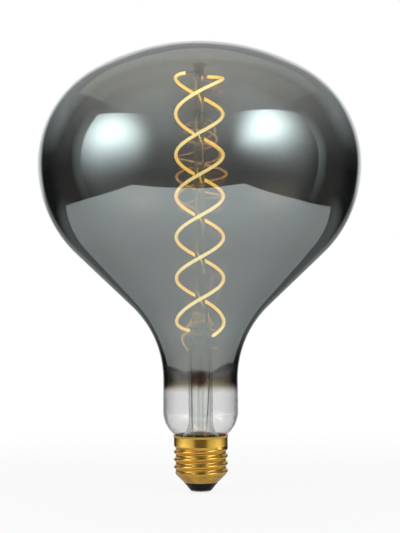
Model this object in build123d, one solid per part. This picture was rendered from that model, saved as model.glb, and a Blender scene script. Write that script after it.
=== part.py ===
from build123d import *
from math import atan2, cos, degrees, radians, sin, sqrt
import os

# LED filament globe bulb with a screw cap, cap down. Millimetres and degrees.
# The origin is the middle of the centre contact's face, and +Z runs up the axis to the top of the globe.

# Glass globe, from the neck up
GLOBE_D = 157.0
DOME_R = 103.9
SHOULDER_R = 52.8
BELLY_R = 59.1
FLANK_LEAN = 46.4
THROAT_R = 48.7
NECK_D = 36.4
NECK_L = 15.8
FOOT_R = 14.6
GLASS_WALL = 1.0
COLLAR_L = 3.0
COLLAR_FILLET = 1.5

# Screw shell
THREAD_D = 26.45
THREAD_DEPTH = 1.05
THREAD_PITCH = 3.63
THREAD_TURNS = 3.2
THREAD_START = -76.0
RUN_OUT = 1.2
SKIRT_D = 26.2
SKIRT_L = 4.1
LIP_FLARE = 0.5
LIP_H = 1.0
LIP_CLEAR = 0.75
SHELL_FOOT_D = 16.9
CONE_H = 3.7
SHELL_WALL = 0.3

# Insulator, contact and cement
INSULATOR_FOOT_D = 10.6
INSULATOR_H = 3.9
PLUG_H = 2.5
CONTACT_D = 9.8
CONTACT_T = 0.6
CONTACT_EDGE = 0.45
RIVET_D = 2.0
RIVET_HEAD_D = 3.6
RIVET_HEAD_T = 0.6
CEMENT_T = 0.7
SEAT_FIT = 0.02

# Stem: flare tube, press, exhaust tube and pillar tube
FLARE_TUBE_D = 11.6
FLARE_R = 12.0
FLARE_WALL = 0.9
SEAL_INSET = 0.4
PRESS_W = 8.6
PRESS_T = 5.4
PRESS_H = 11.5
PRESS_BLEND = 4.0
PRESS_EDGE = 0.6
EXHAUST_D = 3.2
EXHAUST_WALL = 0.7
BLOW_HOLE_D = 1.6
BLOW_HOLE_UP = 2.0
TIP_H = 2.2
TIP_END_D = 1.0
TIP_ROOM = 3.0
PILLAR_D = 4.8
PILLAR_WALL = 1.0
PILLAR_HEAD_D = 6.8
PILLAR_HEAD_T = 1.3
PILLAR_EDGE = 0.4
TOP_ROOM = 10.2

# Filament strands, wound round the pillar
STRAND_D = 1.7
HELIX_D = 23.0
HELIX_PITCH = 39.9
HELIX_TURNS = 3
HELIX_DROP = 4.7
STRAND_STEP = 30.0
EASE_TURN = 90.0
END_PULL = 2.0
TOP_SAG = 0.7
TOP_SLOPE = 0.1
TOP_SWEEP = {"a": 48.0, "b": 66.0}
FOOT_SWEEP = {"a": 60.0, "b": 54.0}
FOOT_FALL = {"a": 5.9, "b": 8.0}
FOOT_SLOPE = {"a": 0.3, "b": 1.0}
STRAND_TURN = {"a": 180.0, "b": 0.0}
SIDE = {"a": -1, "b": 1}

# Terminals and wires
TERMINAL_D = 1.1
TERMINAL_L = 2.3
BRIDGE_D = 0.6
LEAD_D = 0.6
SEAL_D = 0.7
OUTER_LEAD_D = 0.5
SEAL_SPREAD = 6.2
PRESS_TOP_DROP = 4.1
LEAD_RISE = 1.8
LEAD_BACK = 4.6
WIRE_BEND = 0.5
WIRE_STRAIGHT = 1.2
BRIDGE_REACH = 4.2
BRIDGE_RISE = 0.6

# Driver in the cap
BOARD_FIT = 0.25
BOARD_T = 1.0
BOARD_UP = 3.1
HOLE_FIT = 0.05
LEAD_STUB = 0.7
LEAD_HOLE_X = 4.8
LEAD_HOLE_Y = 1.6
LEAD_TURN = 12.0
LEAD_FOOT_TURN = {"a": 28.0, "b": 57.0}
LEAD_DRESS = 6.0
RESISTOR_D = 2.4
RESISTOR_L = 4.2
RESISTOR_CAP_D = 2.7
RESISTOR_CAP_L = 0.8
RESISTOR_LEAD_D = 0.6
CAPACITOR_D = 6.3
CAPACITOR_H = 4.2
CAPACITOR_OUT = 5.6
CAPACITOR_EDGE = 0.5
CAPACITOR_LEGS = 2.5
CHIP_OUT = 5.8
CHIP_SPREAD = 6.4
CHIP_T = 1.4
CHIP_LIFT = 0.2
LEG_T = 0.25
LEG_REACH = 0.9
RECTIFIER = {"length": 4.7, "width": 3.8, "legs": 2, "pitch": 2.5, "leg": 0.6}
REGULATOR = {"length": 4.9, "width": 3.9, "legs": 4, "pitch": 1.27, "leg": 0.4}
SHELL_LEAD_TURN = 40.0
SHELL_LEAD_OUT = 9.4
SHELL_LEAD_RISE = 1.0

# Levels up the axis of the cap
SHELL_FOOT_Z = CONTACT_T + INSULATOR_H
CONE_TOP_Z = SHELL_FOOT_Z + CONE_H
THREAD_Z = CONE_TOP_Z + RUN_OUT
THREAD_TOP_Z = THREAD_Z + THREAD_TURNS * THREAD_PITCH
SKIRT_Z = THREAD_TOP_Z + RUN_OUT
LIP_Z = SKIRT_Z + SKIRT_L
RIM_Z = LIP_Z + LIP_H
RIVET_Z = CONTACT_T + INSULATOR_H + PLUG_H
CONTACT_TOP_Z = RIVET_Z + RIVET_HEAD_T
BOARD_Z = THREAD_Z + BOARD_UP

# Radii of the cap's sheet and of the neck end inside it
THREAD_MEAN_R = (THREAD_D - THREAD_DEPTH) / 2
THREAD_WAVE = THREAD_DEPTH / 2
THREAD_ROOT_R = THREAD_D / 2 - THREAD_DEPTH
SKIRT_BORE_R = SKIRT_D / 2 - SHELL_WALL
LIP_R = SKIRT_D / 2 + LIP_FLARE
COLLAR_R = SKIRT_BORE_R - CEMENT_T
BOARD_R = THREAD_ROOT_R - SHELL_WALL - BOARD_FIT

# Centres of the arcs down the side of the glass, each tangent to the next
GLOBE_R = GLOBE_D / 2
NECK_R = NECK_D / 2
SEAT_R = LIP_R - SHELL_WALL - LIP_CLEAR
FOOT_X = NECK_R - FOOT_R
FOOT_Z = RIM_Z + sqrt(FOOT_R**2 - (SEAT_R - FOOT_X) ** 2)
COLLAR_X = COLLAR_R + COLLAR_FILLET
COLLAR_Z = FOOT_Z - sqrt((FOOT_R + COLLAR_FILLET) ** 2 - (COLLAR_X - FOOT_X) ** 2)
NECK_END_Z = COLLAR_Z - COLLAR_L
THROAT_X = NECK_R + THROAT_R
THROAT_Z = FOOT_Z + NECK_L
BELLY_X = GLOBE_R - BELLY_R
FLANK_SPAN = (BELLY_X - THROAT_X) * cos(radians(FLANK_LEAN)) + BELLY_R + THROAT_R
EQUATOR_Z = THROAT_Z + FLANK_SPAN / sin(radians(FLANK_LEAN))
SHOULDER_X = GLOBE_R - SHOULDER_R
DOME_Z = EQUATOR_Z - sqrt((DOME_R - SHOULDER_R) ** 2 - SHOULDER_X**2)
TOP_Z = DOME_Z + DOME_R

# Levels inside the globe, hung from its top
PILLAR_TOP_Z = TOP_Z - TOP_ROOM
HELIX_TOP_Z = PILLAR_TOP_Z - HELIX_DROP
HELIX_Z = HELIX_TOP_Z - HELIX_TURNS * HELIX_PITCH
PRESS_TOP_Z = HELIX_Z + PRESS_TOP_DROP
PRESS_Z = PRESS_TOP_Z - PRESS_H
FLANGE_R = COLLAR_R - GLASS_WALL - SEAT_FIT
FLARE_X = FLARE_TUBE_D / 2 + FLARE_R
FLARE_Z = NECK_END_Z + SEAL_INSET + sqrt((FLARE_R + FLARE_WALL) ** 2 - (FLARE_X - FLANGE_R) ** 2)
EXHAUST_TIP_Z = BOARD_Z + BOARD_T + TIP_ROOM


def turned(*edges):
    """Solid of revolution about the axis from a closed half section, drawn as radius and height."""
    return revolve(Plane.XZ * make_face(edges), Axis.Z)


def turned_outline(*points):
    """Solid of revolution about the axis from straight runs between points of radius and height."""
    return turned(*Polyline(*points, close=True).edges())


def rod(points, diameter, bend=WIRE_BEND):
    """Round wire along straight runs, with its corners rounded to the bend radius."""
    path = FilletPolyline(*points, radius=bend) if len(points) > 2 else Line(*points)
    return sweep(Plane(path @ 0, z_dir=path % 0) * Circle(diameter / 2), path=path)


def pin(start, direction, diameter, length):
    """Straight round pin from a point along a direction."""
    base = Plane(start, z_dir=direction)
    return base * Cylinder(diameter / 2, length, align=(Align.CENTER, Align.CENTER, Align.MIN))


def glass_line(inset):
    """Edges up the side of the envelope, from the neck end to the top, set in from its outer face."""
    collar = degrees(atan2(FOOT_Z - COLLAR_Z, FOOT_X - COLLAR_X))
    shoulder = degrees(atan2(EQUATOR_Z - DOME_Z, SHOULDER_X))
    foot_arc = CenterArc((FOOT_X, FOOT_Z), FOOT_R - inset, collar - 180, 180 - collar)
    throat_arc = CenterArc((THROAT_X, THROAT_Z), THROAT_R + inset, 180, -FLANK_LEAN)
    belly_arc = CenterArc((BELLY_X, EQUATOR_Z), BELLY_R - inset, -FLANK_LEAN, FLANK_LEAN)
    return [
        Line((COLLAR_R - inset, NECK_END_Z), (COLLAR_R - inset, COLLAR_Z)),
        CenterArc((COLLAR_X, COLLAR_Z), COLLAR_FILLET + inset, 180, collar - 180),
        foot_arc,
        Line(foot_arc @ 1, throat_arc @ 0),
        throat_arc,
        Line(throat_arc @ 1, belly_arc @ 0),
        belly_arc,
        CenterArc((SHOULDER_X, EQUATOR_Z), SHOULDER_R - inset, 0, shoulder),
        CenterArc((0, DOME_Z), DOME_R - inset, shoulder, 90 - shoulder),
    ]


def glass_envelope():
    """Blown globe, throat, neck and neck end, one skin of glass open at the bottom."""
    outer = glass_line(0)
    inner = glass_line(GLASS_WALL)
    crown = Line(outer[-1] @ 1, inner[-1] @ 1)
    neck_end = Line(outer[0] @ 0, inner[0] @ 0)
    return turned(*outer, *inner, crown, neck_end)


def thread_core(inset):
    """Knuckle thread: a level disc carried round a small upright helix, with run-outs to round ends."""
    disc_r = THREAD_MEAN_R - inset
    helix = Pos(0, 0, THREAD_Z) * Rot(0, 0, THREAD_START) * Helix(
        THREAD_PITCH, THREAD_TURNS * THREAD_PITCH, THREAD_WAVE
    )
    low = Plane(helix @ 0) * Circle(disc_r)
    high = Plane(helix @ 1) * Circle(disc_r)
    run_in = loft([Plane((0, 0, CONE_TOP_Z)) * Circle(THREAD_ROOT_R - inset), low])
    run_off = loft([high, Plane((0, 0, SKIRT_Z)) * Circle(SKIRT_D / 2 - inset)])
    return run_in + sweep(low, path=helix, normal=(0, 0, 1)) + run_off


def shell_core(inset):
    """Filled form of the screw shell, taper, thread, skirt and flared lip, set in by the sheet."""
    foot_r = SHELL_FOOT_D / 2 - inset
    root_r = THREAD_ROOT_R - inset
    skirt_r = SKIRT_D / 2 - inset
    lip_r = LIP_R - inset
    taper = turned_outline((0, SHELL_FOOT_Z), (foot_r, SHELL_FOOT_Z), (root_r, CONE_TOP_Z), (0, CONE_TOP_Z))
    skirt = turned_outline((0, SKIRT_Z), (skirt_r, SKIRT_Z), (skirt_r, LIP_Z), (lip_r, RIM_Z), (0, RIM_Z))
    return taper + thread_core(inset) + skirt


def screw_shell():
    """Rolled brass cap: one thickness of sheet from the lip to the open foot."""
    return shell_core(0) - shell_core(SHELL_WALL)


def cap_insulator():
    """Black glass cone under the shell, with the plug that fills the shell's taper and the rivet's hole."""
    slope = (THREAD_ROOT_R - SHELL_FOOT_D / 2) / CONE_H
    plug_r = SHELL_FOOT_D / 2 - SHELL_WALL - SEAT_FIT
    hole_r = RIVET_D / 2 + SEAT_FIT
    return turned_outline(
        (hole_r, CONTACT_T),
        (INSULATOR_FOOT_D / 2, CONTACT_T),
        (SHELL_FOOT_D / 2, SHELL_FOOT_Z),
        (plug_r, SHELL_FOOT_Z),
        (plug_r + PLUG_H * slope, SHELL_FOOT_Z + PLUG_H),
        (hole_r, SHELL_FOOT_Z + PLUG_H),
    )


def centre_contact():
    """Contact plate with a rounded rim, and the rivet that holds it through the insulator."""
    plate = pin((0, 0, 0), (0, 0, 1), CONTACT_D, CONTACT_T)
    plate = fillet(plate.edges().group_by(Axis.Z)[0], CONTACT_EDGE)
    shank = pin((0, 0, CONTACT_T), (0, 0, 1), RIVET_D, RIVET_Z - CONTACT_T)
    head = pin((0, 0, RIVET_Z), (0, 0, 1), RIVET_HEAD_D, RIVET_HEAD_T)
    return plate + shank + head


def basing_cement():
    """Ring of cement between the neck end and the shell's skirt."""
    inner_r = COLLAR_R + SEAT_FIT
    outer_r = SKIRT_BORE_R - SEAT_FIT
    foot = [(inner_r, NECK_END_Z), (outer_r, NECK_END_Z)]
    top = [(outer_r, COLLAR_Z), (inner_r, COLLAR_Z)]
    return turned_outline(*foot, *top)


def flare_line(inset):
    """Edges of the flare's bell and straight tube, from the flange up to the press."""
    tube_r = FLARE_TUBE_D / 2 - inset
    bell_r = FLARE_R + inset
    lean = degrees(atan2(sqrt(bell_r**2 - (FLARE_X - FLANGE_R) ** 2), FLARE_X - FLANGE_R))
    bell = CenterArc((FLARE_X, FLARE_Z), bell_r, 180, lean)
    return [bell, Line((tube_r, FLARE_Z), (tube_r, PRESS_Z))]


def stem_flare():
    """Flare tube with a flattened press on top, sealed to the neck, with holes for its wires and gas."""
    outer = flare_line(0)
    inner = flare_line(FLARE_WALL)
    flange = Line(outer[0] @ 1, inner[0] @ 1)
    top = Line(outer[1] @ 1, inner[1] @ 1)
    tube = turned(*outer, *inner, flange, top)
    oval = Ellipse(PRESS_W / 2, PRESS_T / 2)
    blend_z = PRESS_Z + PRESS_BLEND
    blend = loft([Plane((0, 0, PRESS_Z)) * Circle(FLARE_TUBE_D / 2), Plane((0, 0, blend_z)) * oval])
    block = extrude(Plane((0, 0, blend_z)) * oval, PRESS_TOP_Z - blend_z)
    block = fillet(block.edges().group_by(Axis.Z)[-1], PRESS_EDGE)
    stem = tube + blend + block
    for side in SIDE.values():
        foot = (side * SEAL_SPREAD / 2, 0, PRESS_Z)
        stem -= pin(foot, (0, 0, 1), SEAL_D + 2 * SEAT_FIT, PRESS_H)
    bore_d = EXHAUST_D - 2 * EXHAUST_WALL
    stem -= pin((0, 0, PRESS_Z), (0, 0, 1), bore_d, BLOW_HOLE_UP)
    return stem - pin((0, 0, PRESS_Z + BLOW_HOLE_UP), (0, -1, 0), BLOW_HOLE_D, FLARE_TUBE_D)


def exhaust_tube():
    """Thin tube down the middle of the flare, drawn to a closed tip above the driver board."""
    outer_r = EXHAUST_D / 2
    bore_r = outer_r - EXHAUST_WALL
    neck_z = EXHAUST_TIP_Z + TIP_H
    return turned_outline(
        (0, EXHAUST_TIP_Z),
        (TIP_END_D / 2, EXHAUST_TIP_Z),
        (outer_r, neck_z),
        (outer_r, PRESS_Z),
        (bore_r, PRESS_Z),
        (bore_r, neck_z),
        (0, EXHAUST_TIP_Z + EXHAUST_WALL),
    )


def glass_pillar(bridge_line):
    """Clear tube up the axis, closed by a button head, with the holes where the bridge wire is sealed in."""
    head_z = PILLAR_TOP_Z - PILLAR_HEAD_T
    shaft = pin((0, 0, PRESS_TOP_Z), (0, 0, 1), PILLAR_D, head_z - PRESS_TOP_Z)
    head = pin((0, 0, head_z), (0, 0, 1), PILLAR_HEAD_D, PILLAR_HEAD_T)
    head = fillet(head.edges().filter_by(GeomType.CIRCLE), PILLAR_EDGE)
    bore = pin((0, 0, PRESS_TOP_Z), (0, 0, 1), PILLAR_D - 2 * PILLAR_WALL, head_z - PRESS_TOP_Z)
    hole = rod(bridge_line, BRIDGE_D + 2 * SEAT_FIT)
    return shaft + head - bore - hole


def eased(share, height, slope, end_height, end_slope):
    """Height part way along an end, from the helix's height and slope to the end's own."""
    rest = 1 - share
    start = rest**2 * (1 + 2 * share) * height + share * rest**2 * slope
    return start + share**2 * (3 - 2 * share) * end_height - share**2 * rest * end_slope


def strand_point(key, angle):
    """Point of a strand's centre line, by its angle from the first side of the helix."""
    per_degree = HELIX_PITCH / 360
    last = 360 * HELIX_TURNS
    height = HELIX_Z + per_degree * angle
    past = 0.0
    if angle < EASE_TURN:
        span = EASE_TURN + FOOT_SWEEP[key]
        slope = -per_degree * span
        start = HELIX_Z + per_degree * EASE_TURN
        end = HELIX_Z - FOOT_FALL[key]
        share = (EASE_TURN - angle) / span
        height = eased(share, start, slope, end, slope * FOOT_SLOPE[key])
        past = max(0.0, -angle / FOOT_SWEEP[key])
    if angle > last - EASE_TURN:
        span = EASE_TURN + TOP_SWEEP[key]
        slope = per_degree * span
        start = HELIX_TOP_Z - per_degree * EASE_TURN
        end = HELIX_TOP_Z - TOP_SAG
        share = (angle - last + EASE_TURN) / span
        height = eased(share, start, slope, end, slope * TOP_SLOPE)
        past = max(0.0, (angle - last) / TOP_SWEEP[key])
    radius = HELIX_D / 2 - END_PULL * past**2
    turn = radians(STRAND_TURN[key] + angle)
    return (radius * cos(turn), radius * sin(turn), height)


def strand_path(key):
    """Smooth centre line of a strand: helix turns whose ends flatten and draw in to the middle."""
    first = -FOOT_SWEEP[key]
    span = 360 * HELIX_TURNS + TOP_SWEEP[key] - first
    count = round(span / STRAND_STEP)
    return Spline(*[strand_point(key, first + span * i / count) for i in range(count + 1)])


def filament(path):
    """Soft LED filament: a round coated strand along its centre line."""
    return sweep(Plane(path @ 0, z_dir=path % 0) * Circle(STRAND_D / 2), path=path)


def bridge_points(paths):
    """Corners of the wire from one top terminal, through the pillar, to the other."""
    ends = {key: path @ 1 + (path % 1) * TERMINAL_L for key, path in paths.items()}
    across = Vector(ends["b"].X - ends["a"].X, ends["b"].Y - ends["a"].Y).normalized() * BRIDGE_REACH
    middle = Vector(0, 0, HELIX_TOP_Z - TOP_SAG + BRIDGE_RISE)
    return [
        ends["a"],
        ends["a"] + (paths["a"] % 1) * WIRE_STRAIGHT,
        middle - across,
        middle + across,
        ends["b"] + (paths["b"] % 1) * WIRE_STRAIGHT,
        ends["b"],
    ]


def inner_lead(key, path):
    """Lead from the press top, over and down to the foot of its strand."""
    end = path @ 0 - (path % 0) * TERMINAL_L
    seal = Vector(SIDE[key] * SEAL_SPREAD / 2, 0, PRESS_TOP_Z)
    back = Vector(0, -SIDE[key] * LEAD_BACK, 0)
    rise = Vector(0, 0, LEAD_RISE)
    hook = [seal + back - rise, seal + back / 2 + rise, seal + rise, seal]
    return rod([end, end - (path % 0) * WIRE_STRAIGHT, *hook], LEAD_D)


def seal_wire(key):
    """Copper-clad wire sealed in the press, from its top to the inside of the flare tube."""
    return pin((SIDE[key] * SEAL_SPREAD / 2, 0, PRESS_Z), (0, 0, 1), SEAL_D, PRESS_H)


def lead_hole(key):
    """Place on the driver board where an outer lead goes through."""
    return Vector(SIDE[key] * LEAD_HOLE_X, -LEAD_HOLE_Y, BOARD_Z)


def outer_lead(key):
    """Lead from under the press, along the flare tube's wall, through the driver board."""
    wall_r = FLARE_TUBE_D / 2 - FLARE_WALL - OUTER_LEAD_D
    turn = radians(LEAD_TURN)
    foot_turn = radians(LEAD_FOOT_TURN[key])
    along = Vector(SIDE[key] * wall_r * cos(turn), -wall_r * sin(turn))
    foot = Vector(SIDE[key] * wall_r * cos(foot_turn), -wall_r * sin(foot_turn))
    seal = Vector(SIDE[key] * SEAL_SPREAD / 2, 0, PRESS_Z)
    hole = lead_hole(key)
    points = [
        seal,
        seal - Vector(0, 0, PRESS_BLEND),
        along + Vector(0, 0, PRESS_Z - 2 * PRESS_BLEND),
        along + Vector(0, 0, (FLARE_Z + PRESS_Z) / 2),
        foot + Vector(0, 0, RIM_Z),
        hole + Vector(0, 0, BOARD_T + LEAD_DRESS),
        hole - Vector(0, 0, LEAD_STUB),
    ]
    return rod(points, OUTER_LEAD_D)


def shell_lead():
    """Lead from the driver board up and out to the inside of the shell's skirt."""
    turn = radians(SHELL_LEAD_TURN)
    out = Vector(cos(turn), sin(turn), 0)
    touch_r = SKIRT_BORE_R - OUTER_LEAD_D / 2 - SEAT_FIT
    end_z = NECK_END_Z - OUTER_LEAD_D
    bend_z = end_z - SHELL_LEAD_RISE
    return rod(
        [
            out * SHELL_LEAD_OUT + Vector(0, 0, BOARD_Z - LEAD_STUB),
            out * SHELL_LEAD_OUT + Vector(0, 0, bend_z),
            out * touch_r + Vector(0, 0, end_z),
        ],
        OUTER_LEAD_D,
    )


def capacitor_legs(diameter):
    """The capacitor's two legs, from its can up through the board."""
    start_z = BOARD_Z - LEAD_STUB
    legs = [(side * CAPACITOR_LEGS / 2, -CAPACITOR_OUT, start_z) for side in SIDE.values()]
    return [pin(leg, (0, 0, 1), diameter, LEAD_STUB + BOARD_T + LEAD_STUB) for leg in legs]


def driver_board():
    """Round board that sits inside the thread, with a hole for each wire and leg."""
    board = pin((0, 0, BOARD_Z), (0, 0, 1), 2 * BOARD_R, BOARD_T)
    turn = radians(SHELL_LEAD_TURN)
    shell_hole = (SHELL_LEAD_OUT * cos(turn), SHELL_LEAD_OUT * sin(turn), BOARD_Z)
    lead_d = OUTER_LEAD_D + 2 * HOLE_FIT
    for place in [lead_hole("a"), lead_hole("b"), shell_hole]:
        board -= pin(place, (0, 0, 1), lead_d, BOARD_T)
    board -= pin((0, 0, BOARD_Z), (0, 0, 1), RESISTOR_LEAD_D + 2 * HOLE_FIT, BOARD_T)
    for leg in capacitor_legs(lead_d):
        board -= leg
    return board


def chip(size, side):
    """Surface-mounted part on the board: a moulded body with bent legs down both long sides."""
    body = Box(size["length"], size["width"], CHIP_T, align=(Align.CENTER, Align.CENTER, Align.MIN))
    body = Pos(0, 0, CHIP_LIFT) * chamfer(body.edges().group_by(Axis.Z)[-1], CHIP_LIFT)
    foot = Box(size["leg"], LEG_REACH, LEG_T, align=(Align.CENTER, Align.MIN, Align.MIN))
    riser = Box(size["leg"], LEG_T, CHIP_LIFT + CHIP_T / 2, align=(Align.CENTER, Align.MIN, Align.MIN))
    for row in GridLocations(size["pitch"], 0, size["legs"], 1):
        for turn in (0, 180):
            body += Rot(0, 0, turn) * row * Pos(0, size["width"] / 2, 0) * (foot + riser)
    return Pos(side * CHIP_SPREAD / 2, CHIP_OUT, BOARD_Z + BOARD_T) * body


def smoothing_capacitor():
    """Can capacitor under the board with a rounded foot and two legs."""
    can_z = BOARD_Z - LEAD_STUB - CAPACITOR_H
    can = pin((0, -CAPACITOR_OUT, can_z), (0, 0, 1), CAPACITOR_D, CAPACITOR_H)
    can = fillet(can.edges().group_by(Axis.Z)[0], CAPACITOR_EDGE)
    for leg in capacitor_legs(OUTER_LEAD_D):
        can += leg
    return can


def fuse_resistor():
    """Axial fuse resistor between the contact's rivet and the board, with its end caps and leads."""
    gap = BOARD_Z - CONTACT_TOP_Z - RESISTOR_L
    body_z = CONTACT_TOP_Z + gap / 2
    lead_l = BOARD_Z + BOARD_T + LEAD_STUB - CONTACT_TOP_Z
    resistor = pin((0, 0, CONTACT_TOP_Z), (0, 0, 1), RESISTOR_LEAD_D, lead_l)
    resistor += pin((0, 0, body_z), (0, 0, 1), RESISTOR_D, RESISTOR_L)
    for cap_z in (body_z, body_z + RESISTOR_L - RESISTOR_CAP_L):
        resistor += pin((0, 0, cap_z), (0, 0, 1), RESISTOR_CAP_D, RESISTOR_CAP_L)
    return resistor


def assembly():
    """Every piece of the bulb by name."""
    paths = {key: strand_path(key) for key in STRAND_TURN}
    bridge_line = bridge_points(paths)
    pieces = {
        "glass_envelope": glass_envelope(),
        "screw_shell": screw_shell(),
        "cap_insulator": cap_insulator(),
        "centre_contact": centre_contact(),
        "basing_cement": basing_cement(),
        "stem_flare": stem_flare(),
        "exhaust_tube": exhaust_tube(),
        "glass_pillar": glass_pillar(bridge_line),
        "bridge_wire": rod(bridge_line, BRIDGE_D),
        "driver_board": driver_board(),
        "bridge_rectifier": chip(RECTIFIER, -1),
        "current_regulator": chip(REGULATOR, 1),
        "smoothing_capacitor": smoothing_capacitor(),
        "fuse_resistor": fuse_resistor(),
        "shell_lead": shell_lead(),
    }
    for key, path in paths.items():
        pieces[f"filament_{key}"] = filament(path)
        pieces[f"top_terminal_{key}"] = pin(path @ 1, path % 1, TERMINAL_D, TERMINAL_L)
        pieces[f"foot_terminal_{key}"] = pin(path @ 0, -(path % 0), TERMINAL_D, TERMINAL_L)
        pieces[f"inner_lead_{key}"] = inner_lead(key, path)
        pieces[f"seal_wire_{key}"] = seal_wire(key)
        pieces[f"outer_lead_{key}"] = outer_lead(key)
    return pieces


os.makedirs("parts", exist_ok=True)
for name, shape in assembly().items():
    export_step(shape, f"parts/{name}.step")
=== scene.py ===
from math import atan2, cos, pi, radians, sin, sqrt

import bpy
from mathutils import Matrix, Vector


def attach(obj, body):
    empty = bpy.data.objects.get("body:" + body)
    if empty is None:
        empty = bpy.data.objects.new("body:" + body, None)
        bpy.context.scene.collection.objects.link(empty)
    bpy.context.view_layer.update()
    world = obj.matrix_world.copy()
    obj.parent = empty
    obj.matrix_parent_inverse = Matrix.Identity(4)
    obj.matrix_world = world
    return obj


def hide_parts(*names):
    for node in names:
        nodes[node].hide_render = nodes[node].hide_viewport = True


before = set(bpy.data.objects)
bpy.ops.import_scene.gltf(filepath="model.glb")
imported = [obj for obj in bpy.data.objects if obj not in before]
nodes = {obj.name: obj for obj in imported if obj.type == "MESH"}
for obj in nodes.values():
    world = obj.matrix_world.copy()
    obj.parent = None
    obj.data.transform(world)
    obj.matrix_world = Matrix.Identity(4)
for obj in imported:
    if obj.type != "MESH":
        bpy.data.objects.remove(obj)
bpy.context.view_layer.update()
MM = 0.001

# Envelope, as in the part's source, in millimetres
GLOBE_D, DOME_R, SHOULDER_R, BELLY_R = 157.0, 103.9, 52.8, 59.1
FLANK_LEAN, THROAT_R = radians(46.4), 48.7
NECK_D, NECK_L, FOOT_R = 36.4, 15.8, 14.6
COLLAR_L, COLLAR_FILLET = 3.0, 1.5
SKIRT_D, LIP_FLARE, LIP_CLEAR, SHELL_WALL, CEMENT_T = 26.2, 0.5, 0.75, 0.3, 0.7
RIM_Z = 27.316
COLLAR_R = SKIRT_D / 2 - SHELL_WALL - CEMENT_T
NECK_R = NECK_D / 2
SEAT_R = SKIRT_D / 2 + LIP_FLARE - SHELL_WALL - LIP_CLEAR
FOOT_X = NECK_R - FOOT_R
FOOT_Z = RIM_Z + sqrt(FOOT_R**2 - (SEAT_R - FOOT_X) ** 2)
COLLAR_X = COLLAR_R + COLLAR_FILLET
COLLAR_Z = FOOT_Z - sqrt((FOOT_R + COLLAR_FILLET) ** 2 - (COLLAR_X - FOOT_X) ** 2)
NECK_END_Z = COLLAR_Z - COLLAR_L
THROAT_X, THROAT_Z = NECK_R + THROAT_R, FOOT_Z + NECK_L
BELLY_X = GLOBE_D / 2 - BELLY_R
FLANK_SPAN = (BELLY_X - THROAT_X) * cos(FLANK_LEAN) + BELLY_R + THROAT_R
EQUATOR_Z = THROAT_Z + FLANK_SPAN / sin(FLANK_LEAN)
SHOULDER_X = GLOBE_D / 2 - SHOULDER_R
DOME_Z = EQUATOR_Z - sqrt((DOME_R - SHOULDER_R) ** 2 - SHOULDER_X**2)
TOP_Z = DOME_Z + DOME_R
TURN_STEPS = 160
# The real wall is 1 mm, but glass bends light so that its coat looks about this near to the outer face
COAT_INSET = 0.2

# Strands, as in the part's source, in millimetres and degrees
STRAND_D, HELIX_D, HELIX_PITCH, HELIX_TURNS = 1.7, 23.0, 39.9, 3
TOP_ROOM, HELIX_DROP, EASE_TURN, END_PULL = 10.2, 4.7, 90.0, 2.0
TOP_SAG, TOP_SLOPE = 0.7, 0.1
TOP_SWEEP = {"a": 48.0, "b": 66.0}
FOOT_SWEEP = {"a": 60.0, "b": 54.0}
FOOT_FALL = {"a": 5.9, "b": 8.0}
FOOT_SLOPE = {"a": 0.3, "b": 1.0}
STRAND_TURN = {"a": 180.0, "b": 0.0}
HELIX_TOP_Z = TOP_Z - TOP_ROOM - HELIX_DROP
HELIX_Z = HELIX_TOP_Z - HELIX_TURNS * HELIX_PITCH
STRAND_SIDES, STRAND_STEPS = 14, 900
CHIP_PITCH, CHIP_SWELL = 1.5, 0.015
END_ROUND = 0.35

# Coat, by height in metres: where it starts on the neck, thickens, and thins again at the crown
COAT_EDGE = (0.0482, 0.0534)
COAT_THICKENS = (0.052, 0.080)
CROWN = (0.165, 0.207)
# Share of light that it passes on the neck, in the throat and in the globe, and what the crown adds
NECK_PASS, THROAT_PASS, GLOBE_PASS, CROWN_GAIN = 0.84, 0.36, 0.13, 0.25

# Stem, by height in metres: the brown of the press and of the pillar's crest, and the smeared foot
PRESS_START, PRESS_END = (0.0505, 0.0550), (0.0565, 0.0605)
CREST = (0.2015, 0.2045)
SMEAR = (0.0280, 0.0300)


# Node helpers

def new_material(name):
    """Empty node material, and its tree."""
    mat = bpy.data.materials.new(name)
    mat.use_nodes = True
    mat.node_tree.nodes.clear()
    return mat, mat.node_tree


def surface(tree, shader):
    """Makes a shader the material's surface."""
    out = tree.nodes.new("ShaderNodeOutputMaterial")
    tree.links.new(shader.outputs[0], out.inputs["Surface"])


def principled(name):
    """Material with a Principled shader, its tree and the shader."""
    mat, tree = new_material(name)
    shader = tree.nodes.new("ShaderNodeBsdfPrincipled")
    surface(tree, shader)
    return mat, tree, shader


def put(tree, socket, value):
    """Sets a socket, or links it when the value is another node's output."""
    if isinstance(value, bpy.types.NodeSocket):
        tree.links.new(value, socket)
    elif isinstance(value, tuple) and len(value) == 3 and socket.type == "RGBA":
        socket.default_value = (*value, 1.0)
    else:
        socket.default_value = value


def give(tree, shader, **values):
    """Sets shader sockets by name, with _ for a blank."""
    for key, value in values.items():
        put(tree, shader.inputs[key.replace("_", " ")], value)


def maths(tree, operation, a, b=0.0, c=0.0):
    """Result of a Math node."""
    node = tree.nodes.new("ShaderNodeMath")
    node.operation = operation
    for socket, value in zip(node.inputs, (a, b, c)):
        put(tree, socket, value)
    return node.outputs[0]


def product(tree, first, *others):
    """Product of all the values."""
    for other in others:
        first = maths(tree, "MULTIPLY", first, other)
    return first


def place(tree):
    """Position in the part's frame."""
    return tree.nodes.new("ShaderNodeTexCoord").outputs["Object"]


def split(tree, vector):
    """X, Y and Z of a vector."""
    node = tree.nodes.new("ShaderNodeSeparateXYZ")
    tree.links.new(vector, node.inputs[0])
    return node.outputs


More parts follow.
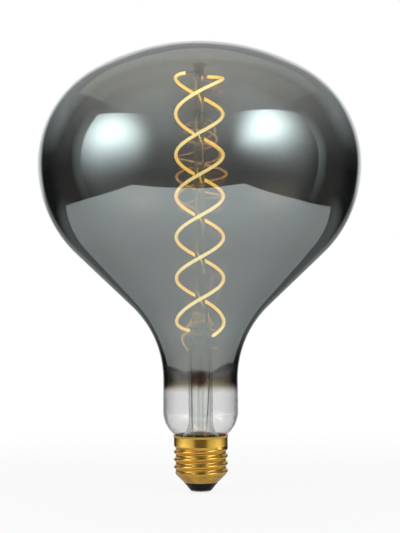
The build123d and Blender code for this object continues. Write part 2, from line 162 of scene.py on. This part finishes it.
def off_axis(tree, parts):
    """Distance from the bulb's axis."""
    squares = [maths(tree, "MULTIPLY", parts[axis], parts[axis]) for axis in "XY"]
    return maths(tree, "SQRT", maths(tree, "ADD", *squares))


def stretched(tree, vector, scale):
    """Position scaled along each axis."""
    node = tree.nodes.new("ShaderNodeMapping")
    tree.links.new(vector, node.inputs["Vector"])
    node.inputs["Scale"].default_value = scale
    return node.outputs[0]


def noise(tree, vector, scale, detail):
    """Noise texture."""
    node = tree.nodes.new("ShaderNodeTexNoise")
    tree.links.new(vector, node.inputs["Vector"])
    node.inputs["Scale"].default_value = scale
    node.inputs["Detail"].default_value = detail
    node.inputs["Roughness"].default_value = 0.5
    return node.outputs["Fac"]


def span(tree, value, low, high, to_low=0.0, to_high=1.0, smooth=False):
    """Maps a range of a value to another range, and holds it at the ends."""
    node = tree.nodes.new("ShaderNodeMapRange")
    node.interpolation_type = "SMOOTHSTEP" if smooth else "LINEAR"
    for socket, v in zip(node.inputs, (value, low, high, to_low, to_high)):
        put(tree, socket, v)
    return node.outputs[0]


def blend(tree, share, first, second):
    """Mix of two colours."""
    node = tree.nodes.new("ShaderNodeMix")
    node.data_type = "RGBA"
    put(tree, node.inputs["Factor"], share)
    put(tree, node.inputs[6], first)
    put(tree, node.inputs[7], second)
    return node.outputs[2]


def mixed(tree, share, first, second):
    """Mix of two shaders."""
    node = tree.nodes.new("ShaderNodeMixShader")
    put(tree, node.inputs[0], share)
    tree.links.new(first.outputs[0], node.inputs[1])
    tree.links.new(second.outputs[0], node.inputs[2])
    return node


def bump(tree, shader, height, distance):
    """Gives a shader a bump."""
    node = tree.nodes.new("ShaderNodeBump")
    node.inputs["Strength"].default_value = 1.0
    node.inputs["Distance"].default_value = distance
    tree.links.new(height, node.inputs["Height"])
    tree.links.new(node.outputs[0], shader.inputs["Normal"])


def facing(tree):
    """Angle at which a face is met, from 0, square on, to 1, along it."""
    node = tree.nodes.new("ShaderNodeLayerWeight")
    node.inputs["Blend"].default_value = 0.5
    return node.outputs["Facing"]


def backfacing(tree):
    """1 where a face is met from behind."""
    return tree.nodes.new("ShaderNodeNewGeometry").outputs["Backfacing"]


def attribute(tree, name):
    """Value that the mesh holds at each point."""
    node = tree.nodes.new("ShaderNodeAttribute")
    node.attribute_name = name
    return node.outputs["Fac"]


def glass_gloss(tree):
    """Share of light that a glass face mirrors, by the angle it is met at."""
    steep = maths(tree, "POWER", facing(tree), 5.0)
    return maths(tree, "MULTIPLY_ADD", steep, 0.96, 0.04)


# Materials

def skin_glass():
    """Outer face of the envelope: clear, seen only by what it mirrors."""
    mat, tree, shader = principled("skin_glass")
    bump(tree, shader, noise(tree, place(tree), 26.0, 1.0), 0.0009)
    tint = noise(tree, place(tree), 60.0, 2.0)
    give(tree, shader, Metallic=1.0, Alpha=glass_gloss(tree))
    give(tree, shader, Roughness=span(tree, tint, 0.3, 0.7, 0.004, 0.02))
    give(tree, shader, Base_Color=blend(tree, tint, (0.93, 0.95, 0.95), (1.0, 1.0, 0.99)))
    return mat


def coat_film():
    """Inner face of the envelope: a smoky mirror, thinner in the throat and all but gone on the neck."""
    mat, tree = new_material("coat_film")
    spot = place(tree)
    mottle = noise(tree, spot, 30.0, 3.0)
    uneven = maths(tree, "MULTIPLY_ADD", mottle, 0.0016, -0.0008)
    level = maths(tree, "ADD", split(tree, spot)["Z"], uneven)
    cover = span(tree, level, *COAT_EDGE, smooth=True)
    full = span(tree, level, *COAT_THICKENS, smooth=True)
    crown = span(tree, level, *CROWN, smooth=True)

    # Light that passes: less through the thin coat at a slant, and next to none at the globe's outline
    coated = span(tree, full, 0.0, 1.0, THROAT_PASS, GLOBE_PASS)
    coated = maths(tree, "MULTIPLY_ADD", crown, CROWN_GAIN, coated)
    passed = maths(tree, "MULTIPLY_ADD", cover, maths(tree, "SUBTRACT", coated, NECK_PASS), NECK_PASS)
    turned = facing(tree)
    square = maths(tree, "MAXIMUM", maths(tree, "SUBTRACT", 1.0, turned), 0.3)
    longer = maths(tree, "DIVIDE", 1.0, square)
    crossed = maths(tree, "MULTIPLY_ADD", full, maths(tree, "SUBTRACT", 1.0, longer), longer)
    through = maths(tree, "POWER", passed, crossed)
    rim = product(tree, span(tree, turned, 0.45, 0.75, 0.0, 0.92, smooth=True),
                  full, span(tree, crown, 0.0, 1.0, 1.0, 0.35))
    through = maths(tree, "MULTIPLY", through, maths(tree, "SUBTRACT", 1.0, rim))

    # Mirror: cool from outside, brown from inside and at the coat's edge
    film = blend(tree, mottle, (0.342, 0.398, 0.396), (0.364, 0.420, 0.418))
    film = blend(tree, backfacing(tree), (0.38, 0.30, 0.22), film)
    thin = blend(tree, cover, (0.50, 0.50, 0.48), (0.165, 0.158, 0.140))
    mirror = tree.nodes.new("ShaderNodeBsdfPrincipled")
    bump(tree, mirror, noise(tree, spot, 22.0, 1.0), 0.0009)
    give(tree, mirror, Metallic=1.0, Base_Color=blend(tree, full, thin, film))
    give(tree, mirror, Specular_Tint=(0.38, 0.42, 0.42))
    give(tree, mirror, Roughness=span(tree, mottle, 0.2, 0.8, 0.004, 0.016))

    # Tint of what is seen through it, with a stain at its edge
    tint = blend(tree, full, (1.0, 1.0, 1.0), (1.0, 0.97, 0.92))
    edge_end = span(tree, level, COAT_EDGE[1], COAT_EDGE[1] + 0.002, 1.0, 0.0, smooth=True)
    clear = tree.nodes.new("ShaderNodeBsdfTransparent")
    give(tree, clear, Color=blend(tree, product(tree, cover, edge_end), tint, (0.95, 0.82, 0.64)))
    surface(tree, mixed(tree, through, mirror, clear))
    return mat


def clear_glass():
    """Stem and pillar: clear drawn glass with faint lines, browned at its seals, smeared at its foot, and
    darkened with painted shade where it is met at a slant.
    """
    mat, tree, shader = principled("clear_glass")
    spot = place(tree)
    parts = split(tree, spot)
    lines = noise(tree, stretched(tree, spot, (900.0, 900.0, 1.5)), 1.0, 2.0)
    bump(tree, shader, lines, 0.000002)
    give(tree, shader, Transmission_Weight=1.0, IOR=1.5)
    give(tree, shader, Roughness=span(tree, lines, 0.3, 0.7, 0.0, 0.03))

    height = maths(tree, "MULTIPLY_ADD", noise(tree, spot, 700.0, 2.0), 0.002, parts["Z"])
    off_middle = maths(tree, "ABSOLUTE", maths(tree, "ADD", parts["X"], 0.0008))
    inward = span(tree, off_middle, 0.0028, 0.0044, 1.0, 0.0, smooth=True)
    press = product(tree, span(tree, height, *PRESS_START, 0.0, 0.9, smooth=True),
                    span(tree, height, *PRESS_END, 1.0, 0.0, smooth=True))
    crest = span(tree, height, *CREST, 0.0, 0.6, smooth=True)
    sealed = product(tree, maths(tree, "ADD", press, crest), inward)
    streaks = noise(tree, stretched(tree, spot, (1500.0, 1500.0, 160.0)), 1.0, 2.0)
    brown = blend(tree, span(tree, streaks, 0.35, 0.65), (0.22, 0.07, 0.03), (0.62, 0.36, 0.20))

    body = blend(tree, lines, (0.88, 0.90, 0.89), (0.96, 0.97, 0.96))
    body = blend(tree, sealed, body, brown)
    body = blend(tree, span(tree, height, *SMEAR, 1.0, 0.0, smooth=True), body, (0.50, 0.44, 0.20))
    # Painted shade: the glass colour goes towards near black (0.05, 0.06, 0.06) where it is met at a slant,
    # to give the tubes dark edges
    slant = maths(tree, "POWER", facing(tree), 1.5)
    give(tree, shader, Base_Color=blend(tree, slant, body, (0.05, 0.06, 0.06)))
    return mat


def brass():
    """Rolled brass sheet: drawing lines round it, a little tarnish in the thread."""
    mat, tree, shader = principled("brass")
    spot = place(tree)
    rings = noise(tree, stretched(tree, spot, (60.0, 60.0, 5200.0)), 1.0, 2.0)
    cloud = noise(tree, spot, 190.0, 4.0)
    root = span(tree, off_axis(tree, split(tree, spot)), 0.01205, 0.0129, 1.0, 0.0, smooth=True)
    dull = product(tree, root, span(tree, cloud, 0.35, 0.75))
    bright = blend(tree, cloud, (0.86, 0.52, 0.105), (0.78, 0.45, 0.078))
    give(tree, shader, Metallic=1.0, Base_Color=blend(tree, dull, bright, (0.46, 0.24, 0.06)))
    give(tree, shader, Roughness=span(tree, maths(tree, "ADD", rings, dull), 0.2, 1.3, 0.13, 0.22))
    bump(tree, shader, rings, 0.000004)
    return mat


def black_glass():
    """Moulded black insulator glass: glossy, with a slight flow wave and pits."""
    mat, tree, shader = principled("black_glass")
    spot = place(tree)
    flow = noise(tree, spot, 240.0, 2.0)
    pits = noise(tree, spot, 2600.0, 2.0)
    give(tree, shader, Base_Color=blend(tree, flow, (0.004, 0.003, 0.002), (0.010, 0.008, 0.005)))
    give(tree, shader, Roughness=span(tree, pits, 0.45, 0.75, 0.07, 0.3))
    give(tree, shader, IOR=1.4, Specular_IOR_Level=0.2)
    bump(tree, shader, maths(tree, "MULTIPLY_ADD", pits, 0.15, flow), 0.0002)
    return mat


def contact_metal():
    """Tinned contact plate: turned rings and a scuffed middle."""
    mat, tree, shader = principled("contact_metal")
    spot = place(tree)
    ring_pitch = 0.00028
    rings = maths(tree, "SINE", product(tree, off_axis(tree, split(tree, spot)), 2 * pi / ring_pitch))
    scuff = noise(tree, stretched(tree, spot, (2200.0, 500.0, 500.0)), 1.0, 3.0)
    tin = blend(tree, scuff, (0.48, 0.47, 0.45), (0.74, 0.73, 0.71))
    give(tree, shader, Metallic=1.0, Base_Color=tin)
    give(tree, shader, Roughness=span(tree, scuff, 0.25, 0.75, 0.22, 0.5))
    bump(tree, shader, maths(tree, "MULTIPLY_ADD", rings, 0.3, scuff), 0.00002)
    return mat


def grained(name, low, high, scale, rough, metal, depth):
    """Fine-grained surface: two tones, uneven gloss and a small bump."""
    mat, tree, shader = principled(name)
    grain = noise(tree, place(tree), scale, 4.0)
    give(tree, shader, Metallic=metal, Base_Color=blend(tree, span(tree, grain, 0.3, 0.7), low, high))
    give(tree, shader, Roughness=span(tree, grain, 0.25, 0.75, *rough))
    bump(tree, shader, grain, depth)
    return mat


def board_laminate():
    """Glass-cloth laminate under solder mask, with the cloth's weave just showing."""
    mat, tree, shader = principled("board_laminate")
    parts = split(tree, place(tree))
    thread_pitch = 0.0006
    threads = [maths(tree, "SINE", product(tree, parts[axis], 2 * pi / thread_pitch)) for axis in "XY"]
    tone = span(tree, product(tree, *threads), -1.0, 1.0)
    give(tree, shader, Base_Color=blend(tree, tone, (0.02, 0.13, 0.06), (0.03, 0.19, 0.09)))
    give(tree, shader, Roughness=span(tree, tone, 0.0, 1.0, 0.3, 0.45))
    bump(tree, shader, tone, 0.00002)
    return mat


def filament_coat():
    """Lit phosphor silicone: yellow outside, deeper gold inside, a little brighter over each chip."""
    mat, tree, shader = principled("filament_coat")
    grain = noise(tree, place(tree), 1500.0, 2.0)
    give(tree, shader, Base_Color=blend(tree, grain, (0.78, 0.52, 0.10), (0.88, 0.64, 0.18)))
    give(tree, shader, Roughness=span(tree, grain, 0.3, 0.7, 0.35, 0.55))
    bump(tree, shader, grain, 0.00003)

    side = span(tree, attribute(tree, "outward"), -1.0, 1.0)
    light = blend(tree, side, (1.0, 0.64, 0.08), (1.0, 0.87, 0.37))
    limb = span(tree, facing(tree), 0.25, 0.90, 0.0, 0.8)
    give(tree, shader, Emission_Color=blend(tree, limb, light, (0.60, 0.26, 0.012)))

    # Stronger high up, and weaker at the crown, where the coat passes more light
    chips = maths(tree, "COSINE", product(tree, attribute(tree, "run"), 2 * pi / (CHIP_PITCH * MM)))
    height = split(tree, place(tree))["Z"]
    glow = product(tree, span(tree, chips, -1.0, 1.0, 4.8, 6.6),
                   span(tree, height, 0.150, 0.172, 0.96, 1.16, smooth=True),
                   span(tree, height, *CROWN, 1.0, 0.43, smooth=True))
    give(tree, shader, Emission_Strength=glow)
    return mat


# Pieces

def new_piece(name, points, faces, slot, replaced, *materials):
    """Mesh piece in the part's frame that stands for a node of the part."""
    mesh = bpy.data.meshes.new(name)
    mesh.from_pydata(points, [], faces)
    for mat in materials:
        mesh.materials.append(mat)
    mesh.polygons.foreach_set("use_smooth", [True] * len(mesh.polygons))
    piece = bpy.data.objects.new(name, mesh)
    bpy.context.scene.collection.objects.link(piece)
    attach(piece, "root")
    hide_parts(replaced)
    return piece


def arc(x, z, radius, start, sweep, steps):
    """Points along an arc, from its centre, radius and angles."""
    turns = [start + sweep * i / steps for i in range(steps + 1)]
    return [(x + radius * cos(t), z + radius * sin(t)) for t in turns]


def glass_line(inset):
    """Radius and height up the side of the envelope, set in from its outer face."""
    collar = atan2(FOOT_Z - COLLAR_Z, FOOT_X - COLLAR_X)
    shoulder = atan2(EQUATOR_Z - DOME_Z, SHOULDER_X)
    line = [(COLLAR_R - inset, NECK_END_Z)]
    for run in (
        arc(COLLAR_X, COLLAR_Z, COLLAR_FILLET + inset, pi, collar - pi, 8),
        arc(FOOT_X, FOOT_Z, FOOT_R - inset, collar - pi, pi - collar, 18),
        arc(THROAT_X, THROAT_Z, THROAT_R + inset, pi, -FLANK_LEAN, 24),
        arc(BELLY_X, EQUATOR_Z, BELLY_R - inset, -FLANK_LEAN, FLANK_LEAN, 26),
        arc(SHOULDER_X, EQUATOR_Z, SHOULDER_R - inset, 0.0, shoulder, 26),
        arc(0.0, DOME_Z, DOME_R - inset, shoulder, pi / 2 - shoulder, 24),
    ):
        line += run if abs(run[0][1] - line[-1][1]) > 1e-6 else run[1:]
    return line


def lathe(line, points, faces, flip):
    """Turns a line that ends on the axis into rows of faces, and gives the first row's start."""
    base = len(points)
    rows = len(line) - 1
    for radius, height in line[:-1]:
        for i in range(TURN_STEPS):
            turn = 2 * pi * i / TURN_STEPS
            points.append((radius * cos(turn) * MM, radius * sin(turn) * MM, height * MM))
    pole = len(points)
    points.append((0.0, 0.0, line[-1][1] * MM))
    for row in range(rows):
        for i in range(TURN_STEPS):
            j = (i + 1) % TURN_STEPS
            a, b = base + row * TURN_STEPS + i, base + row * TURN_STEPS + j
            top = (pole,) if row == rows - 1 else (b + TURN_STEPS, a + TURN_STEPS)
            face = (a, b, *top)
            faces.append(face[::-1] if flip else face)
    return base


def envelope():
    """Globe, throat and neck as one closed skin: clear outside, coated inside."""
    points, faces = [], []
    outer = lathe(glass_line(0.0), points, faces, False)
    outside = len(faces)
    inner = lathe(glass_line(COAT_INSET), points, faces, True)
    for i in range(TURN_STEPS):
        j = (i + 1) % TURN_STEPS
        faces.append((outer + j, outer + i, inner + i, inner + j))
    looks = skin_glass(), coat_film()
    piece = new_piece("envelope_glass", points, faces, "smoked_glass", "glass_envelope", *looks)
    index = [0] * outside + [1] * (len(faces) - outside)
    piece.data.polygons.foreach_set("material_index", index)
    piece.data.set_sharp_from_angle(angle=radians(60))


def eased(share, height, slope, end_height, end_slope):
    """Height along a curve with a given height and slope at each end."""
    rest = 1 - share
    start = rest**2 * (1 + 2 * share) * height + share * rest**2 * slope
    return start + share**2 * (3 - 2 * share) * end_height - share**2 * rest * end_slope


def strand_point(key, angle):
    """Point of a strand's centre line, by its angle from the first side of the helix."""
    per_degree = HELIX_PITCH / 360
    last = 360 * HELIX_TURNS
    height = HELIX_Z + per_degree * angle
    past = 0.0
    if angle < EASE_TURN:
        length = EASE_TURN + FOOT_SWEEP[key]
        slope = -per_degree * length
        share = (EASE_TURN - angle) / length
        start = HELIX_Z + per_degree * EASE_TURN
        height = eased(share, start, slope, HELIX_Z - FOOT_FALL[key], slope * FOOT_SLOPE[key])
        past = max(0.0, -angle / FOOT_SWEEP[key])
    if angle > last - EASE_TURN:
        length = EASE_TURN + TOP_SWEEP[key]
        slope = per_degree * length
        share = (angle - last + EASE_TURN) / length
        start = HELIX_TOP_Z - per_degree * EASE_TURN
        height = eased(share, start, slope, HELIX_TOP_Z - TOP_SAG, slope * TOP_SLOPE)
        past = max(0.0, (angle - last) / TOP_SWEEP[key])
    radius = HELIX_D / 2 - END_PULL * past**2
    turn = radians(STRAND_TURN[key] + angle)
    return Vector((radius * cos(turn), radius * sin(turn), height))


def strand(key, mat):
    """Soft strand with rounded ends, and a faint swell over each chip."""
    first = -FOOT_SWEEP[key]
    whole = 360 * HELIX_TURNS + TOP_SWEEP[key] - first
    line = [strand_point(key, first + whole * i / STRAND_STEPS) for i in range(STRAND_STEPS + 1)]
    runs = [0.0]
    for a, b in zip(line, line[1:]):
        runs.append(runs[-1] + (b - a).length)
    points, faces, run, outward = [], [], [], []
    for i, spot in enumerate(line):
        away = Vector((spot.x, spot.y, 0.0)).normalized()
        ahead = (line[min(i + 1, STRAND_STEPS)] - line[max(i - 1, 0)]).normalized()
        side = ahead.cross(Vector((0, 0, 1))).normalized()
        over = side.cross(ahead)
        near_end = min(runs[i], runs[-1] - runs[i]) / (END_ROUND * STRAND_D)
        dome = sqrt(1 - (1 - min(near_end, 1.0)) ** 2) * END_ROUND + 1 - END_ROUND
        swell = 1 - CHIP_SWELL + CHIP_SWELL * cos(2 * pi * runs[i] / CHIP_PITCH)
        radius = STRAND_D / 2 * dome * swell
        for k in range(STRAND_SIDES):
            turn = 2 * pi * k / STRAND_SIDES
            way = side * cos(turn) + over * sin(turn)
            points.append((spot + way * radius) * MM)
            run.append(runs[i] * MM)
            outward.append(way.dot(away))
    for i in range(STRAND_STEPS):
        for k in range(STRAND_SIDES):
            a, b = i * STRAND_SIDES + k, i * STRAND_SIDES + (k + 1) % STRAND_SIDES
            faces.append((a, b, b + STRAND_SIDES, a + STRAND_SIDES))
    faces.append(tuple(range(STRAND_SIDES))[::-1])
    faces.append(tuple(range(STRAND_STEPS * STRAND_SIDES, (STRAND_STEPS + 1) * STRAND_SIDES)))
    piece = new_piece(f"strand_{key}", points, faces, "filament_coat", f"filament_{key}", mat)
    for name, values in (("run", run), ("outward", outward)):
        piece.data.attributes.new(name, "FLOAT", "POINT").data.foreach_set("value", values)
    piece.data.set_sharp_from_angle(angle=radians(50))


envelope()
filament_material = filament_coat()
strand("a", filament_material)
strand("b", filament_material)

# Looks of the part's own nodes
CLEAR = clear_glass()
NICKEL = grained("nickel", (0.26, 0.25, 0.23), (0.42, 0.40, 0.37), 2600.0, (0.2, 0.38), 1.0, 1e-5)
CRIMP = grained("crimp", (0.55, 0.27, 0.09), (0.80, 0.45, 0.18), 1900.0, (0.3, 0.5), 0.35, 2e-5)
DUMET = grained("dumet", (0.55, 0.19, 0.09), (0.75, 0.33, 0.18), 2600.0, (0.25, 0.4), 1.0, 1e-5)
MOULDED = grained("moulded", (0.012, 0.012, 0.013), (0.03, 0.03, 0.03), 4200.0, (0.4, 0.6), 0.0, 1e-5)
CEMENT = grained("cement", (0.22, 0.18, 0.04), (0.36, 0.30, 0.08), 1400.0, (0.8, 0.95), 0.0, 8e-5)
SLEEVE = grained("sleeve", (0.02, 0.03, 0.07), (0.04, 0.05, 0.11), 900.0, (0.25, 0.4), 0.0, 2e-5)
CERAMIC = grained("ceramic", (0.20, 0.27, 0.16), (0.28, 0.36, 0.22), 1500.0, (0.4, 0.6), 0.0, 2e-5)
DRESSED = {
    "screw_shell": brass(),
    "cap_insulator": black_glass(),
    "centre_contact": contact_metal(),
    "basing_cement": CEMENT,
    "stem_flare": CLEAR,
    "exhaust_tube": CLEAR,
    "glass_pillar": CLEAR,
    "driver_board": board_laminate(),
    "bridge_rectifier": MOULDED,
    "current_regulator": MOULDED,
    "smoothing_capacitor": SLEEVE,
    "fuse_resistor": CERAMIC,
    "bridge_wire": NICKEL,
    "shell_lead": NICKEL,
}
for key in ("a", "b"):
    DRESSED[f"top_terminal_{key}"] = CRIMP
    DRESSED[f"foot_terminal_{key}"] = CRIMP
    DRESSED[f"inner_lead_{key}"] = NICKEL
    DRESSED[f"outer_lead_{key}"] = NICKEL
    DRESSED[f"seal_wire_{key}"] = DUMET
for name, mat in DRESSED.items():
    for slot in nodes[name].material_slots:
        slot.material = mat


# Stage, in metres

COOL, WARM, WHITE = (0.94, 1.0, 1.0), (1.0, 0.91, 0.76), (1.0, 1.0, 1.0)
LAMP_X, LAMP_Z = 1.0, 1.3
# Low lamps: distance from the axis, heights and steps, then how far off square their grid dims them,
# and how far out from the middle their shutter opens
LOW_R, LOW_Z, LOW_STEPS = 0.4, (-0.075, 0.012), 24
LOW_GRID, LOW_SHUTTER = (0.011, 0.021), (0.12, 0.235)
FLOOR_R, FLOOR_SIDES, FLOOR_Z, TABLE_Z = 0.4, 96, -0.0002, -0.1


def stage_sheet(name, corners, mat, faces=None):
    """Sheet of the stage: one flat face, unless its faces are given."""
    mesh = bpy.data.meshes.new(name)
    mesh.from_pydata(corners, [], faces or [tuple(range(len(corners)))])
    mesh.materials.append(mat)
    sheet = bpy.data.objects.new(name, mesh)
    bpy.context.scene.collection.objects.link(sheet)
    return sheet


def lamp_material(name, across, middle, reach, peak, colour, low=False):
    """Soft lamp front: brightest at its middle, with a fall-off to its rim that may differ on two sides.

    A low lamp has a grid, which keeps its light to a narrow beam, and a shutter."""
    mat, tree = new_material(name)
    parts = split(tree, place(tree))
    squares = []
    for axis, centre, (below, above) in zip(across, middle, reach):
        off = maths(tree, "SUBTRACT", parts[axis], centre)
        sides = [maths(tree, "DIVIDE", off, rim) for rim in (above, -below)]
        share = maths(tree, "MAXIMUM", *sides)
        squares.append(maths(tree, "MULTIPLY", share, share))
    fall = maths(tree, "EXPONENT", maths(tree, "MULTIPLY", maths(tree, "ADD", *squares), -1.0))
    strength = maths(tree, "MULTIPLY", fall, peak)
    if low:
        beam = span(tree, facing(tree), *LOW_GRID, 1.0, 0.0, smooth=True)
        shutter = span(tree, maths(tree, "ABSOLUTE", parts["X"]), *LOW_SHUTTER, smooth=True)
        strength = product(tree, strength, beam, shutter)
    glow = tree.nodes.new("ShaderNodeEmission")
    give(tree, glow, Color=colour, Strength=strength)
    both = tree.nodes.new("ShaderNodeAddShader")
    for shader, socket in zip((glow, tree.nodes.new("ShaderNodeBsdfTransparent")), both.inputs):
        tree.links.new(shader.outputs[0], socket)
    surface(tree, both)
    return mat


def soft_lamp(name, corners, *light, faces=None):
    """Lamp sheet, hidden from the camera and through glass."""
    lamp = stage_sheet(name, corners, lamp_material(name, *light), faces)
    lamp.visible_camera = False
    lamp.visible_transmission = False


def side_lamp(name, x, corners, middle, reach, peak):
    """Upright soft lamp at one side, by the Y and Z of its corners."""
    soft_lamp(name, [(x, y, z) for y, z in corners], "YZ", middle, reach, peak, COOL)


def low_lamp(name, first, last):
    """Low gridded lamp, curved round the cap, that lights little but the cap's sides."""
    turns = [radians(first + (last - first) * i / LOW_STEPS) for i in range(LOW_STEPS + 1)]
    points = [(LOW_R * sin(t), LOW_R * cos(t), height) for height in LOW_Z for t in turns]
    row = len(turns)
    faces = [(i, i + 1, i + 1 + row, i + row) for i in range(LOW_STEPS)]
    reach = ((0.34, 0.22), (0.03, 0.018))
    soft_lamp(name, points, "YZ", (-0.05, -0.036), reach, 2.3, COOL, True, faces=faces)


def pale_sheet(name, corners, painted_glow_falloff, fade):
    """White sheet: lit and shaded, with a painted light falloff that makes its glow darker towards its
    back, and lost in the white far out.

    From below, the camera sees through it."""
    mat, tree = new_material(name)
    spot = place(tree)
    path = tree.nodes.new("ShaderNodeLightPath")
    camera_ray = path.outputs["Is Camera Ray"]
    grain = noise(tree, spot, 400.0, 2.0)
    matte = tree.nodes.new("ShaderNodeBsdfDiffuse")
    give(tree, matte, Color=blend(tree, grain, (0.84, 0.84, 0.84), (0.88, 0.88, 0.88)))
    white = tree.nodes.new("ShaderNodeEmission")
    # Painted light falloff: the glow's strength changes from the sheet's front to its back, so the table
    # that mirrors show gets darker towards its back
    give(tree, white, Color=WHITE, Strength=span(tree, split(tree, spot)["Y"], *painted_glow_falloff))
    seen = maths(tree, "MAXIMUM", camera_ray, path.outputs["Is Glossy Ray"])
    lifted = mixed(tree, maths(tree, "MULTIPLY", seen, 0.88), matte, white)
    length = tree.nodes.new("ShaderNodeVectorMath")
    length.operation = "LENGTH"
    tree.links.new(spot, length.inputs[0])
    far = span(tree, length.outputs["Value"], *fade, smooth=True)
    gone = maths(tree, "MULTIPLY", camera_ray, maths(tree, "MAXIMUM", far, backfacing(tree)))
    surface(tree, mixed(tree, gone, lifted, tree.nodes.new("ShaderNodeBsdfTransparent")))
    return stage_sheet(name, corners, mat)


def studio():
    """White room: white to the camera and through glass, with darker walls round the lamps in mirrors."""
    world = bpy.data.worlds.new("studio")
    bpy.context.scene.world = world
    world.use_nodes = True
    tree = world.node_tree
    tree.nodes.clear()
    path = tree.nodes.new("ShaderNodeLightPath")
    way = split(tree, tree.nodes.new("ShaderNodeTexCoord").outputs["Generated"])

    # Walls: a ceiling that dims downwards, and a front that is lighter above the camera at both sides
    ceiling = span(tree, way["Z"], 0.0, 1.0, 0.02, 0.30)
    wide = product(tree, span(tree, maths(tree, "ABSOLUTE", way["X"]), 0.05, 0.35),
                   span(tree, way["Z"], 0.2, 0.65))
    ahead = maths(tree, "MULTIPLY_ADD", wide, 0.18, span(tree, way["Z"], -0.2, 0.45, 0.10, 0.27))
    front = span(tree, way["Y"], 0.1, -0.35, smooth=True)
    walls = maths(tree, "MULTIPLY_ADD", maths(tree, "SUBTRACT", ahead, ceiling), front, ceiling)

    # Behind the bulb: the white backdrop, and lighter wall over it and under it
    rear = span(tree, way["Y"], 0.25, 0.7, smooth=True)
    backdrop = product(tree, span(tree, way["Y"], 0.820, 0.920, smooth=True),
                       span(tree, way["Z"], -0.12, 0.02, 0.28, 1.0, smooth=True))
    over = product(tree, rear, span(tree, way["Z"], 0.08, 0.4, 0.0, 0.5))
    under = product(tree, rear, span(tree, way["Z"], -0.2, -0.32, 0.0, 0.18))
    mirrored = walls
    for part in (over, under, backdrop):
        mirrored = maths(tree, "MAXIMUM", mirrored, part)

    # What isn't seen or mirrored is even light
    room_light = 0.5
    seen = maths(tree, "MAXIMUM", path.outputs["Is Camera Ray"], path.outputs["Is Transmission Ray"])
    rest = maths(tree, "MULTIPLY_ADD", path.outputs["Is Glossy Ray"],
                 maths(tree, "SUBTRACT", mirrored, room_light), room_light)
    back = tree.nodes.new("ShaderNodeBackground")
    give(tree, back, Color=WHITE, Strength=maths(tree, "MAXIMUM", seen, rest))
    out = tree.nodes.new("ShaderNodeOutputWorld")
    tree.links.new(back.outputs[0], out.inputs["Surface"])


side_lamp("lamp_left", -LAMP_X, [(-0.07, -0.8), (-0.07, 0.86), (-2.6, 2.3), (-2.6, -0.8)],
          (-0.42, 0.63), ((0.62, 0.40), (0.40, 0.42)), 3.0)
side_lamp("lamp_right", LAMP_X, [(-0.04, -0.8), (-0.04, 0.84), (-2.6, 2.7), (-2.6, -0.8)],
          (-0.80, 0.85), ((0.84, 0.46), (0.42, 0.72)), 3.2)
side_lamp("wing_left", -LAMP_X, [(0.07, -0.3), (0.13, 0.9), (-0.07, 0.9), (-0.07, -0.3)],
          (-0.07, 0.4), ((0.14, 0.14), (0.5, 0.5)), 0.25)
side_lamp("wing_right", LAMP_X, [(0.08, -0.3), (0.16, 0.9), (-0.04, 0.9), (-0.04, -0.3)],
          (-0.04, 0.4), ((0.14, 0.14), (0.5, 0.5)), 0.25)
soft_lamp("lamp_top", [(x, y, LAMP_Z) for x, y in ((-1.2, -0.9), (1.2, -0.9), (1.2, 1.3), (-1.2, 1.3))],
          "XY", (-0.25, 0.8), ((1.6, 1.3), (0.9, 1.5)), 0.32, WARM)

# The floor is what the camera sees, and the table further down is what mirrors show
ring = [2 * pi * i / FLOOR_SIDES for i in range(FLOOR_SIDES)]
floor = pale_sheet("floor", [(FLOOR_R * cos(t), FLOOR_R * sin(t), FLOOR_Z) for t in ring],
                   (0.0, 0.01, 1.0, 1.0), (0.10, 0.30))
floor.visible_glossy = False
table_corners = ((-0.57, -0.50), (0.36, -0.60), (0.63, 0.29), (-0.70, 0.34))
table = pale_sheet("table", [(x, y, TABLE_Z) for x, y in table_corners],
                   (0.1, -0.3, 0.52, 0.80), (0.0, 0.01))
table.visible_camera = False
low_lamp("low_left", -165.0, -45.0)
low_lamp("low_right", 45.0, 165.0)
studio()

# Camera, level with the middle row of the photograph, which is 400 by 533. PIXEL and AWAY are in metres
FRAME_H, FOOT_ROW, MIDDLE_ROW = 533, 490.8, 266.5
PIXEL, AWAY, ROLL, SENSOR_H = 0.0004863, 0.76, 0.27, 36.0
cam = bpy.data.cameras.new("camera")
cam.sensor_fit = "VERTICAL"
cam.sensor_height = SENSOR_H
cam.lens = SENSOR_H * AWAY / (PIXEL * FRAME_H)
cam.clip_end = 20.0
camera = bpy.data.objects.new("camera", cam)
camera.location = (0.0, -AWAY, (FOOT_ROW - MIDDLE_ROW) * PIXEL)
camera.rotation_euler = (pi / 2, radians(ROLL), 0.0)
scene = bpy.context.scene
scene.collection.objects.link(camera)
scene.camera = camera
scene.view_settings.view_transform = "Standard"
scene.cycles.max_bounces = 20
scene.cycles.transmission_bounces = 16
scene.cycles.glossy_bounces = 8
scene.cycles.transparent_max_bounces = 24
